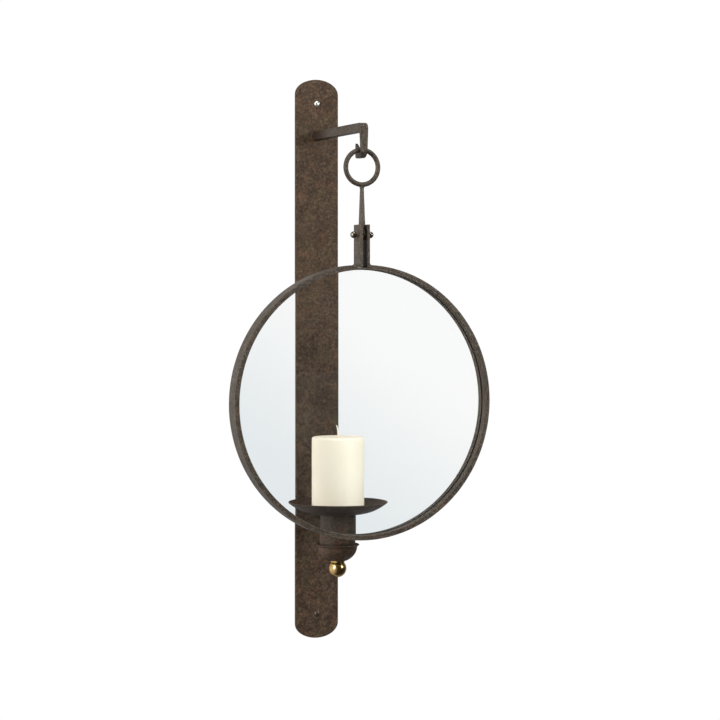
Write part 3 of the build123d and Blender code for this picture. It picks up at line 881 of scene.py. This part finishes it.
for hand, side in (("left", -1), ("right", 1)):
    node = f"{hand}_washer"
    make(f"washer_{hand}", "glass_hoop", "gunmetal", black_steel, [(washer(node), True)], [node])
    node = f"{hand}_ball_nut"
    make(f"ball_nut_{hand}", "glass_hoop", "gunmetal", black_steel, [(ball_nut(node, side), False)], [node])

# ---------------------------------------------------------------- pan, tube, cup, rod and finial

pan_low, pan_high = ends("drip_pan")
pan_z, pan_r, sheet = pan_low[2], (pan_high[0] - pan_low[0]) / 2, 1.8 * MM
rod_hole_r = 3.3 * MM


def drip_pan_dish():
    """The pan: flat over the tube, then an arc of one curve that rises to the rim. The sheet's two faces
    share the arc's centre, and the rim is half a circle. Beyond the candle both faces are slightly
    uneven."""
    flat, rise = tube_r + 0.4 * MM, 15.6 * MM
    curve = ((pan_r - flat) ** 2 + rise**2) / (2 * rise)
    mid_curve, in_curve = curve - sheet / 2, curve - sheet
    turn = math.asin((pan_r - flat) / curve) - sheet / 2 / curve
    angle = np.linspace(0, turn, 40)
    outer = np.stack([flat + curve * np.sin(angle), pan_z + curve * (1 - np.cos(angle))], 1)
    inner = np.stack([flat + in_curve * np.sin(angle), pan_z + curve - in_curve * np.cos(angle)], 1)
    rim_turn = np.linspace(-np.pi / 2, np.pi / 2, 9)[1:-1, None]
    rim_centre = np.array([flat + mid_curve * math.sin(turn), pan_z + curve - mid_curve * math.cos(turn)])
    along = np.array([math.cos(turn), math.sin(turn)])
    out = np.array([math.sin(turn), -math.cos(turn)])
    rim = rim_centre + sheet / 2 * (np.cos(rim_turn) * along - np.sin(rim_turn) * out)
    flats = np.linspace(rod_hole_r, flat - 0.3 * MM, 8)
    under = np.stack([flats, 0 * flats + pan_z], 1)
    over = np.stack([flats[::-1], 0 * flats + pan_z + sheet], 1)
    grid = turned(np.vstack([under, outer, rim, inner[::-1], over]), candle_at, 2, 160)
    wave = uneven(grid * (1, 1, 0), 30 * MM, 11) - 0.5
    distance = np.hypot(grid[..., 0], grid[..., 1] - candle_at[1])
    grid[..., 2] += 0.25 * MM * wave * np.clip((distance - 40 * MM) / (20 * MM), 0, 1)
    return grid


def socket_tube():
    """The tube: a rounded rectangle for its wall, carried round its axis."""
    low, high, inside = tube_low[2], tube_high[2], tube_r - 2 * MM
    corners = [(inside, low), (tube_r, low), (tube_r, high), (inside, high)]
    return turned(rounded_path(corners, [0.35 * MM] * 4, [3, 12, 3, 12], 5, closed=True), candle_at, 2, 120)


def cup_bowl():
    """The base cup: an ellipse quarter for the bowl, a lip that flares out by a squared share of the
    height above it, a half circle for the rim, and the same inside by the sheet's thickness."""
    low, high = ends("base_cup")
    rim_r, rim_z, low_z, wall = (high[0] - low[0]) / 2, high[2], low[2], 2.6 * MM
    flare, flare_high, lip, fall = 2.8 * MM, 3.4 * MM, 3 * MM, 21.6 * MM
    bowl_r, rim_half, depth = rim_r - flare, wall / 2, rim_z - low_z

    def face(down, radius, bowl_deep):
        bowl = radius * np.sqrt(1 - (np.maximum(down - lip, 0) / bowl_deep) ** 2)
        return bowl + flare * np.clip(1 - (down - rim_half) / flare_high, 0, 1) ** 2

    near_rim = 6 * MM
    bowl_down = np.linspace(depth, near_rim, 24)
    down = np.concatenate([bowl_down, np.linspace(near_rim, rim_half, 14)[1:]])
    outer = np.stack([face(down, bowl_r, fall), rim_z - down], 1)
    turn = np.linspace(0, np.pi, 9)[1:-1]
    rim = np.stack([np.cos(turn) - 1, np.sin(turn) - 1], 1) * rim_half + (rim_r, rim_z)
    squeeze = (depth - wall - rim_half) / (depth - rim_half)
    down_in = down[::-1] * squeeze + rim_half * (1 - squeeze)
    inner = np.stack([face(down_in, bowl_r - wall, fall - wall), rim_z - down_in], 1)
    foot = [(rod_hole_r, low_z), (7 * MM, low_z), (outer[0, 0] - 0.4 * MM, low_z)]
    floor = [(inner[-1, 0] - 1 * MM, low_z + wall), (rod_hole_r, low_z + wall)]
    return turned(np.vstack([foot, outer, rim, inner, floor]), candle_at, 2, 120)


def pricket():
    """The rod, flange and spike: one outline with rounded corners, turned."""
    low, high = ends("pricket_rod")
    rod_r, flange_r, spike_r, tip_r = 3 * MM, (high[0] - low[0]) / 2, 3.4 * MM, 0.25 * MM
    flange_z = pan_z + sheet
    flange_top = flange_z + 2 * MM
    rod = [(0, low[2]), (rod_r, low[2]), (rod_r, flange_z)]
    flange = [(flange_r, flange_z), (flange_r, flange_top)]
    spike = [(spike_r, flange_top), (tip_r, high[2]), (0, high[2])]
    radii = [0, 0.4 * MM, 0.2 * MM, 0.3 * MM, 0.5 * MM, 0.8 * MM, 0.1 * MM, 0]
    return turned(rounded_path(rod + flange + spike, radii, 5, 5), candle_at, 2, 64)


for name, node, surface, closed in (
    ("drip_pan_dish", "drip_pan", drip_pan_dish, True),
    ("socket_tube_iron", "socket_tube", socket_tube, True),
    ("base_cup_bowl", "base_cup", cup_bowl, True),
    ("pricket_spike", "pricket_rod", pricket, False),
):
    make(name, "wall_frame", "rust_brown_holder", holder_iron, [(surface(), closed)], [node])


def finial():
    """The finial: a collar with rounded rims, a small groove, and a ball, which is a circle arc down to
    its lowest point."""
    low, high = ends("finial_nut")
    ball_r, top, collar_r, collar_high = (high[0] - low[0]) / 2, high[2], 9.6 * MM, 2.6 * MM
    centre, under = low[2] + ball_r, top - collar_high
    corners = [(0, top), (collar_r, top), (collar_r, under), (6 * MM, under)]
    collar = rounded_path(corners, [0, 0.5 * MM, 0.7 * MM, 0], [3, 3, 2], 6)
    groove_r = math.sqrt(ball_r**2 - (under - centre) ** 2)
    groove = (groove_r - 0.5 * MM, under - 0.05 * MM)
    turn = np.linspace(math.asin(groove_r / ball_r), np.pi, 40)
    ball = np.stack([ball_r * np.sin(turn), centre + ball_r * np.cos(turn)], 1)
    return turned(np.vstack([collar[:-1], [groove], ball[1:]]), candle_at, 2, 96)


make("finial_ball", "wall_frame", "antique_brass", brass, [(finial(), False)], ["finial_nut"])

# ---------------------------------------------------------------- candle

wax_low, wax_high = ends("candle_wax")
wick_low, wick_high = ends("candle_wick")
wick_r = 0.9 * MM


def candle():
    """The candle: a side with a rounded foot and shoulder, a top with a shallow bell-shaped dimple at the
    wick, a bore for the wick, and a recess below for the flange and spike. The skin is faintly uneven."""
    radius, low, top = (wax_high[0] - wax_low[0]) / 2, wax_low[2], wax_high[2]
    bore, bore_foot, shoulder = wick_r + 0.05 * MM, wick_low[2], 3.2 * MM
    recess_r, recess_z = 10.5 * MM, pan_z + sheet + 3.5 * MM
    recess = [(bore, bore_foot), (4.9 * MM, recess_z), (recess_r, recess_z), (recess_r, low)]
    corners = recess + [(radius, low), (radius, top), (bore, top)]
    radii = [0.05 * MM, 0.5 * MM, 0.5 * MM, 0.4 * MM, 0.9 * MM, shoulder, 0.05 * MM]
    path = rounded_path(corners, radii, [6, 3, 3, 8, 30, 24, 8], 8, closed=True)
    grid = turned(path, candle_at, 2, 128)
    out = np.hypot(grid[..., 0] - candle_at[0], grid[..., 1] - candle_at[1])
    upper = grid[..., 2] > top - shoulder
    grid[..., 2] -= upper * 1.0 * MM * np.exp(-((out / (7 * MM)) ** 2))
    side = np.clip((out - 20 * MM) / (10 * MM), 0, 1)
    shrink = 1 - 0.16 * MM * side * uneven(grid, 22 * MM, 12) / radius
    for k in (0, 1):
        grid[..., k] = candle_at[k] + (grid[..., k] - candle_at[k]) * shrink
    return grid


make("candle_pillar", "candle", "ivory_wax", wax, [(candle(), True)], ["candle_wax"])


def wick():
    """The wick: three twisted strands, a circle whose radius dips three times round and turns with the
    height, carried straight up and then over to the left on an arc."""
    low, top, straight = wick_low[2], wick_high[2], wax_high[2] + 3 * MM
    lean, lay, around, tip = 2.2 * MM, 5.5 * MM, 30, 0.8 * MM
    z = np.concatenate([np.linspace(low, straight, 150), np.linspace(straight, top - 0.1 * MM, 60)[1:]])
    share = np.clip((z - straight) / (top - straight), 0, 1)
    x = -lean * (1 - np.sqrt(1 - 0.9 * share**2)) / (1 - math.sqrt(0.1))
    x, z = x[:, None], z[:, None]
    turn = np.linspace(0, 2 * np.pi, around, endpoint=False)
    radius = wick_r * (0.74 + 0.26 * np.abs(np.cos(1.5 * (turn - z / lay * 2 * np.pi))))
    radius = radius * (1 - 0.25 * np.clip((z - top + tip) / tip, 0, 1))
    grid = np.stack([x + radius * np.cos(turn), candle_at[1] + radius * np.sin(turn), z + 0 * turn], -1)
    poles = [np.repeat(grid[k].mean(0)[None, None], around, 1) for k in (0, -1)]
    return np.concatenate([poles[0], grid, poles[1]])


make("candle_wick_twist", "candle", "cotton_wick", cotton, [(wick(), False)], ["candle_wick"])

# ---------------------------------------------------------------- floor, lights, backdrop and camera


def floor_disc(radii, height, steps=64):
    """A level disc that faces up: a fan inside the first radius, and a ring of quads between each two
    radii."""
    turn = np.linspace(0, 2 * np.pi, steps, endpoint=False)
    rows = np.array(radii)[:, None]
    level = np.full((len(radii), steps), height)
    grid = np.stack([rows * np.cos(turn), rows * np.sin(turn), level], -1)
    faces = [tuple(range(steps))]
    for near in range(0, steps * (len(radii) - 1), steps):
        for k in range(steps):
            after = (k + 1) % steps
            faces.append((near + k, near + steps + k, near + steps + after, near + after))
    mesh = bpy.data.meshes.new("floor")
    mesh.from_pydata(grid.reshape(-1, 3).tolist(), [], faces)
    mesh.materials.append(pale_floor())
    disc = bpy.data.objects.new("floor", mesh)
    bpy.context.scene.collection.objects.link(disc)
    disc.visible_glossy = False
    return disc


floor_disc((1.0, 6.0, 40.0), -1.42)


def soft_light(name, place, aim, wide, high, power):
    """A rectangular softbox at place, facing aim, unseen by the camera and through glass."""
    lamp = bpy.data.lights.new(name, "AREA")
    lamp.shape, lamp.size, lamp.size_y, lamp.energy = "RECTANGLE", wide, high, power
    box = bpy.data.objects.new(name, lamp)
    bpy.context.scene.collection.objects.link(box)
    box.location = place
    box.rotation_euler = (Vector(aim) - Vector(place)).to_track_quat("-Z", "Y").to_euler()
    box.visible_camera = False
    box.visible_transmission = False


def studio_world():
    """A white backdrop for what is seen directly or through glass. As light it is dimmer: it brightens
    upwards, towards the wall's side and, most of all, to the left."""
    world = Finish(bpy.data.worlds.new("studio"))
    across, towards, height = (world.part(world.place(), axis) for axis in "XYZ")
    light = 0.05 + towards.between(-0.2, 0.6) * 0.45 + height.between(0.2, 0.9) * 0.25
    light = light + across.between(-0.3, -0.95) * 1.1
    white = (1.0, 1.0, 1.0)
    surround = world.node("ShaderNodeBackground", {}, {"Color": white, "Strength": light})
    backdrop = world.node("ShaderNodeBackground", {}, {"Color": white, "Strength": 1.02})
    seen = world.seen_or_through()
    return world.surface(world.node("ShaderNodeMixShader", {}, {0: seen, 1: surround, 2: backdrop}))


middle = (cad_low + cad_high) / 2
soft_light("softbox_right", (1.6, -1.85, 0.72), middle, wide=0.55, high=0.8, power=39)
soft_light("softbox_left", (-2.25, -1.1, 0.68), middle, wide=0.8, high=1.8, power=48)
soft_light("softbox_top", (0.1, -0.9, 1.9), middle, wide=1.2, high=0.8, power=16)
bpy.context.scene.world = studio_world()
bpy.context.scene.view_settings.view_transform = "Standard"

stand_off, stand_angle, facing, eye_level = 2.8874, math.radians(21.677), math.radians(22.31), 0.0860
lens = bpy.data.cameras.new("camera")
lens.lens, lens.sensor_width, lens.shift_y = 108.12, 36.0, -0.0892
lens.clip_start, lens.clip_end = 0.05, 200.0
camera = bpy.data.objects.new("camera", lens)
bpy.context.scene.collection.objects.link(camera)
aside, before = stand_off * math.sin(stand_angle), stand_off * math.cos(stand_angle)
camera.location = (middle[0] - aside, middle[1] - before, middle[2] + eye_level)
camera.rotation_euler = (math.pi / 2, 0, -facing)
bpy.context.scene.camera = camera
